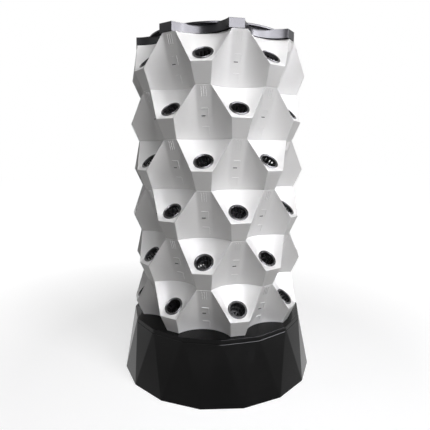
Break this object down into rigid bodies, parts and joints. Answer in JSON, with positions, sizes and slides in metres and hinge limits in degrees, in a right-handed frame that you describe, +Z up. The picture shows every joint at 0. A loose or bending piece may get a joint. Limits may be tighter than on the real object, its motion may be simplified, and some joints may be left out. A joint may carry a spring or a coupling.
{
  "type": "vertical planter tower",
  "caption": "Stacked hydroponic tower with tilted cup pockets, scalloped lid and a faceted water tank that holds its pump.",
  "frame": {"origin": "middle of the tank's underside, on the floor", "axes": "+Z up the tower; -Y towards the front, where the lid's middle tab and the lowest tier's middle pocket face; +X to the right seen from the front"},
  "size_m": [0.6686, 0.6686, 1.1252],
  "materials": {
    "white_shell": "smooth glossy white moulded plastic",
    "black_shell": "polished black moulded plastic",
    "cup": "satin black plastic",
    "white_plastic": "plain off-white pipe plastic",
    "grey_plastic": "satin dark grey plastic",
    "pump": "satin dark blue-grey plastic",
    "rubber": "matt black rubber"
  },
  "bodies": {
    "base": {"tank": "black_shell", "pump_feet": "rubber", "pump_body": "pump", "pump_intake_cover": "pump", "riser_socket": "white_plastic", "riser_pipe": "white_plastic", "spray_nozzle": "grey_plastic", "spray_deflector": "grey_plastic"},
    "deck": {"deck": "black_shell", "cable_grommet": "rubber"},
    "impeller": {"pump_impeller": "white_plastic"},
    "strainer": {"pump_strainer": "grey_plastic"},
    "tier_6": {"tier_6": "white_shell"},
    "tier_5": {"tier_5": "white_shell"},
    "tier_4": {"tier_4": "white_shell"},
    "tier_3": {"tier_3": "white_shell"},
    "tier_2": {"tier_2": "white_shell"},
    "tier_1": {"tier_1": "white_shell"},
    "lid": {"lid": "black_shell"},
    "cup_6_1": {"net_cup_6_1": "cup"},
    "cup_6_2": {"net_cup_6_2": "cup"},
    "cup_6_3": {"net_cup_6_3": "cup"},
    "cup_6_4": {"net_cup_6_4": "cup"},
    "cup_6_5": {"net_cup_6_5": "cup"},
    "cup_6_6": {"net_cup_6_6": "cup"},
    "cup_6_7": {"net_cup_6_7": "cup"},
    "cup_6_8": {"net_cup_6_8": "cup"}
  },
  "joints": [
    {"name": "deck_lift", "type": "slide", "parent": "base", "child": "deck", "axis": [0, 0, 1], "range_m": [0, 0.25]},
    {"name": "impeller_spin", "type": "hinge", "parent": "base", "child": "impeller", "pos_m": [0.004, 0, 0.0456], "axis": [1, 0, 0], "continuous": true},
    {"name": "strainer_pull", "type": "slide", "parent": "base", "child": "strainer", "axis": [1, 0, 0], "range_m": [0, 0.04]},
    {"name": "tier_6_lift", "type": "slide", "parent": "deck", "child": "tier_6", "axis": [0, 0, 1], "range_m": [0, 0.12]},
    {"name": "tier_5_lift", "type": "slide", "parent": "tier_6", "child": "tier_5", "axis": [0, 0, 1], "range_m": [0, 0.12]},
    {"name": "tier_4_lift", "type": "slide", "parent": "tier_5", "child": "tier_4", "axis": [0, 0, 1], "range_m": [0, 0.12]},
    {"name": "tier_3_lift", "type": "slide", "parent": "tier_4", "child": "tier_3", "axis": [0, 0, 1], "range_m": [0, 0.12]},
    {"name": "tier_2_lift", "type": "slide", "parent": "tier_3", "child": "tier_2", "axis": [0, 0, 1], "range_m": [0, 0.12]},
    {"name": "tier_1_lift", "type": "slide", "parent": "tier_2", "child": "tier_1", "axis": [0, 0, 1], "range_m": [0, 0.12]},
    {"name": "lid_lift", "type": "slide", "parent": "tier_1", "child": "lid", "axis": [0, 0, 1], "range_m": [0, 0.1]},
    {"name": "cup_6_1_lift", "type": "slide", "parent": "tier_6", "child": "cup_6_1", "axis": [0, -0.682, 0.7314], "range_m": [0, 0.07]},
    {"name": "cup_6_2_lift", "type": "slide", "parent": "tier_6", "child": "cup_6_2", "axis": [0.4822, -0.4822, 0.7314], "range_m": [0, 0.07]},
    {"name": "cup_6_3_lift", "type": "slide", "parent": "tier_6", "child": "cup_6_3", "axis": [0.682, 0, 0.7314], "range_m": [0, 0.07]},
    {"name": "cup_6_4_lift", "type": "slide", "parent": "tier_6", "child": "cup_6_4", "axis": [0.4822, 0.4822, 0.7314], "range_m": [0, 0.07]},
    {"name": "cup_6_5_lift", "type": "slide", "parent": "tier_6", "child": "cup_6_5", "axis": [0, 0.682, 0.7314], "range_m": [0, 0.07]},
    {"name": "cup_6_6_lift", "type": "slide", "parent": "tier_6", "child": "cup_6_6", "axis": [-0.4822, 0.4822, 0.7314], "range_m": [0, 0.07]},
    {"name": "cup_6_7_lift", "type": "slide", "parent": "tier_6", "child": "cup_6_7", "axis": [-0.682, 0, 0.7314], "range_m": [0, 0.07]},
    {"name": "cup_6_8_lift", "type": "slide", "parent": "tier_6", "child": "cup_6_8", "axis": [-0.4822, -0.4822, 0.7314], "range_m": [0, 0.07]}
  ]
}
